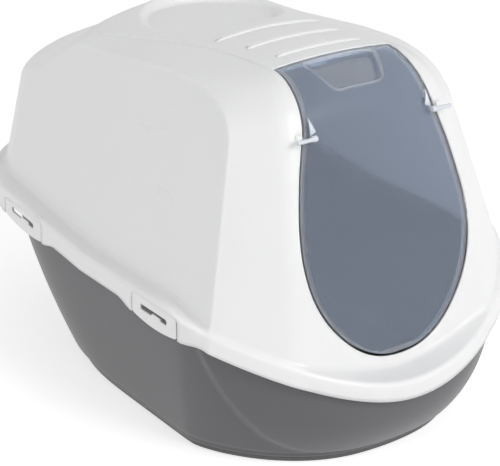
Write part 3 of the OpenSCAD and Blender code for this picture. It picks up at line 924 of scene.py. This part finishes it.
def shifted(loop, d):
    """Loop moved outwards by d along its normals."""
    t = np.roll(loop, -1, 0) - np.roll(loop, 1, 0)
    t /= np.linalg.norm(t, axis=1)[:, None]
    return loop + np.stack([t[:, 1], -t[:, 0]], -1) * np.asarray(d)[..., None]


def level(loop, z):
    """Loop of plan points lifted to height z."""
    return np.column_stack([loop, z * np.ones(len(loop))])


# %% Floor and foot of the tray
FOOT_R, TRAY_WALL = 7.0, 2.4
foot = outline(hw=154, front=246, rear=198, cf=132, cr=10)
brim = outline(hw=180, front=305, rear=272, cf=160, cr=120)
lip = outline(182.6, 279.6, 279.6, 165, 150)
rows = [level(foot * (1 - inset / 154), 0.3) for inset in (75, 40, 8)]
for inset, z in ((4.6, 0.0), (4, 0.4), (4, 3.2), (3.4, 4.0)):
    rows.append(level(shifted(foot, -inset * np.ones(len(foot))), z))
for turn in np.linspace(0, math.pi / 2, 7)[1:]:
    out = FOOT_R * math.sin(turn) - FOOT_R + 0.9
    rows.append(level(shifted(foot, out * np.ones(len(foot))), 4 + FOOT_R - FOOT_R * math.cos(turn)))
foot_rows = len(rows)
print("tray outline", len(foot), "points")

# %% Walls of the tray
TRAY_BULGE, NOSE_BULGE = 6.0, 6.0
WALL_Z, BRIM_Z = 11.0, 180.0
CREASE_UP = (0, 0.07, 0.13, 0.22, 0.4, 0.62, 0.8, 1)
CREASE_ROUND = (12, 37, 44, 52, 62, 72, 79, 84)
top_z = rim_height(lip[:, 0], lip[:, 1]) + 11.2
ahead = np.degrees(np.arctan2(np.abs(brim[:, 0]) / 180, (-brim[:, 1] - 160) / 145))
for s in np.linspace(0, 1, 40)[1:]:
    z = WALL_Z + (top_z - WALL_Z) * s
    crease = np.interp(s, CREASE_UP, CREASE_ROUND)
    front = np.clip((crease - ahead) / 4 + 0.5, 0, 1)
    bulge = 0.9 + (TRAY_BULGE + NOSE_BULGE * front) * 4 * s * (1 - s)
    rows.append(level(shifted(foot + (brim - foot) * (z / BRIM_Z)[:, None], bulge), z))
wall_top = rows[-1]
for f, up in ((0.25, 1.6), (0.6, 2.2), (1.0, 2.4)):
    rows.append(np.column_stack([wall_top[:, :2] * (1 - f) + lip * f, wall_top[:, 2] + up]))
grid = np.stack(rows)
print("tray rows", foot_rows, "in the foot,", len(rows), "in all")

# %% Skin of the tray
count = grid.shape[1]
points = np.concatenate([grid.reshape(-1, 3), [[0, -20, 0.3]]])
here = np.arange(count)
fan = np.stack([np.full(count, len(points) - 1), (here + 1) % count, here], -1)
tris = np.concatenate([triangles(grid_faces(*grid.shape[:2])), fan])
tray_shell = add_object("tray_shell", points, tris, "tray", GREY)
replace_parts(thicken(tray_shell, TRAY_WALL), "base_tray")

# %% [markdown]
# ## Under the roof
# When the hood is lifted off or the door swings, the filter's walls, the ears that its cover turns on
# and the seats of the door's pins show. They are small closed forms, made with the same helpers.


# %% Filter walls
def wall_loop(hw, y0, y1, count):
    """Rounded rectangle, counter-clockwise: a superellipse of power 14."""
    a = np.linspace(0, 2 * math.pi, count, endpoint=False)
    c, s = np.cos(a), np.sin(a)
    k = (np.abs(c) ** 14 + np.abs(s) ** 14) ** (-1 / 14)
    return np.stack([hw * c * k, (y0 + y1) / 2 + (y1 - y0) / 2 * s * k], -1)


FILTER_Z, FILTER_WALL = 344.6, 2.2
loop = wall_loop(66.8, -118, -32, 160)
under = deck_height(loop[:, 0], loop[:, 1]) - 2.2
grid = np.stack([level(loop, FILTER_Z + (under - FILTER_Z) * t) for t in (0.0, 0.06, 0.5, 1.0)])
thicken(add_grid("filter_walls", grid, "hood", WHITE), FILTER_WALL)

# %% Ears and pin seats
EAR = [[-1.2, 0], [-1.2, 3.4], [-0.9, 3.9], [0.9, 3.9], [1.2, 3.4], [1.2, 0]]
for side, word in SIDES:
    place = (side * 65.6, -36.0, 341.2)
    turned("cover_ear_" + word, place, "x", EAR, "hood", WHITE)
    place, rod = (side * 79.5, AXIS_Y + 9.6, AXIS_Z), rounded_rod(6, 3.6, 1.2)
    turned("pin_seat_" + word, place, "x", rod, "hood", WHITE)

# %% Finishes on CAD nodes
for node, finish in (("filter_cover", WHITE), ("filter_pad", FOAM)):
    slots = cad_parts[node].data.materials
    slots.clear()
    slots.append(finish)
    print(node, "gets", finish.name)

# %% [markdown]
# ## Studio
# A white floor and world seen by the camera, two soft lamps, and the photograph's viewing angle. More
# light would make the background white too, but it would wash out the white hood. So the lift is only
# for rays from the camera and for those that gloss and clear plastic send on.


# %% Floor
def seen_rays(tree):
    """1 for camera, glossy and transmission rays, 0 for the light on the object."""
    path = add_node(tree, "LightPath", {}).outputs
    glossy = combine(tree, "MAXIMUM", path["Is Camera Ray"], path["Is Glossy Ray"])
    return combine(tree, "MAXIMUM", glossy, path["Is Transmission Ray"])


def studio_floor(half=4.0, below=-0.0005, lift=0.5):
    """Pale square floor just under the tray, lifted towards white where it is seen."""
    mat = bpy.data.materials.new("studio_white")
    mat.use_nodes = True
    tree = mat.node_tree
    feed(tree, tree.nodes["Principled BSDF"], {
        "Base Color": (0.9, 0.9, 0.9, 1),
        "Roughness": 0.9,
        "Emission Color": (1, 1, 1, 1),
        "Emission Strength": combine(tree, "MULTIPLY", seen_rays(tree), lift),
    })
    mesh = bpy.data.meshes.new("studio_floor")
    corners = [(x * half, y * half, below) for x, y in ((-1, -1), (1, -1), (1, 1), (-1, 1))]
    mesh.from_pydata(corners, [], [(0, 1, 2, 3)])
    mesh.materials.append(mat)
    floor = bpy.data.objects.new("studio_floor", mesh)
    bpy.context.collection.objects.link(floor)
    print("floor", 2 * half, "m wide")


studio_floor()

# %% World
world = bpy.data.worlds.new("studio")
bpy.context.scene.world = world
world.use_nodes = True
sky = world.node_tree
strength = ranged(sky, seen_rays(sky), 0.0, 1.0, 0.42, 1.0)
feed(sky, sky.nodes["Background"], {"Color": (1, 1, 1, 1), "Strength": strength})


# %% Lamps
def soft_lamp(name, place, power, target=(0, 0, 0.2), size=1.6):
    """Round area lamp that looks from place to target."""
    lamp = bpy.data.lights.new(name, "AREA")
    lamp.shape = "DISK"
    lamp.size = size
    lamp.energy = power
    o = bpy.data.objects.new(name, lamp)
    o.location = place
    d = np.array(target, float) - np.array(place, float)
    turn = math.atan2(d[1], d[0]) - math.pi / 2
    o.rotation_euler = (math.acos(-d[2] / np.linalg.norm(d)), 0, turn)
    bpy.context.collection.objects.link(o)
    print(name, power, "W")


soft_lamp("front_lamp", (0.6, -2.3, 1.6), 41)
soft_lamp("left_lamp", (-2.4, -0.1, 1.2), 19)

# %% Camera
FRAME_WIDTH, FOCAL_PIXELS = 500, 1744.94
SHIFT_PIXELS = (-0.28, -65.98)
TURN, TILT, DISTANCE = math.radians(35.49), math.radians(21.13), 1.7285
LOOKED_AT = np.array([0, -0.0165, 0.2074])
lens = bpy.data.cameras.new("photo_camera")
lens.sensor_width = 36
lens.lens = FOCAL_PIXELS / FRAME_WIDTH * 36
lens.shift_x, lens.shift_y = (pixels / FRAME_WIDTH for pixels in SHIFT_PIXELS)
back = (-math.sin(TURN) * math.cos(TILT), -math.cos(TURN) * math.cos(TILT), math.sin(TILT))
camera = bpy.data.objects.new("photo_camera", lens)
camera.location = LOOKED_AT + np.array(back) * DISTANCE
camera.rotation_euler = (math.pi / 2 - TILT, 0, -TURN)
bpy.context.collection.objects.link(camera)
bpy.context.scene.camera = camera
bpy.context.scene.view_settings.view_transform = "Standard"
print("camera", round(lens.lens, 1), "mm lens,", DISTANCE, "m away")
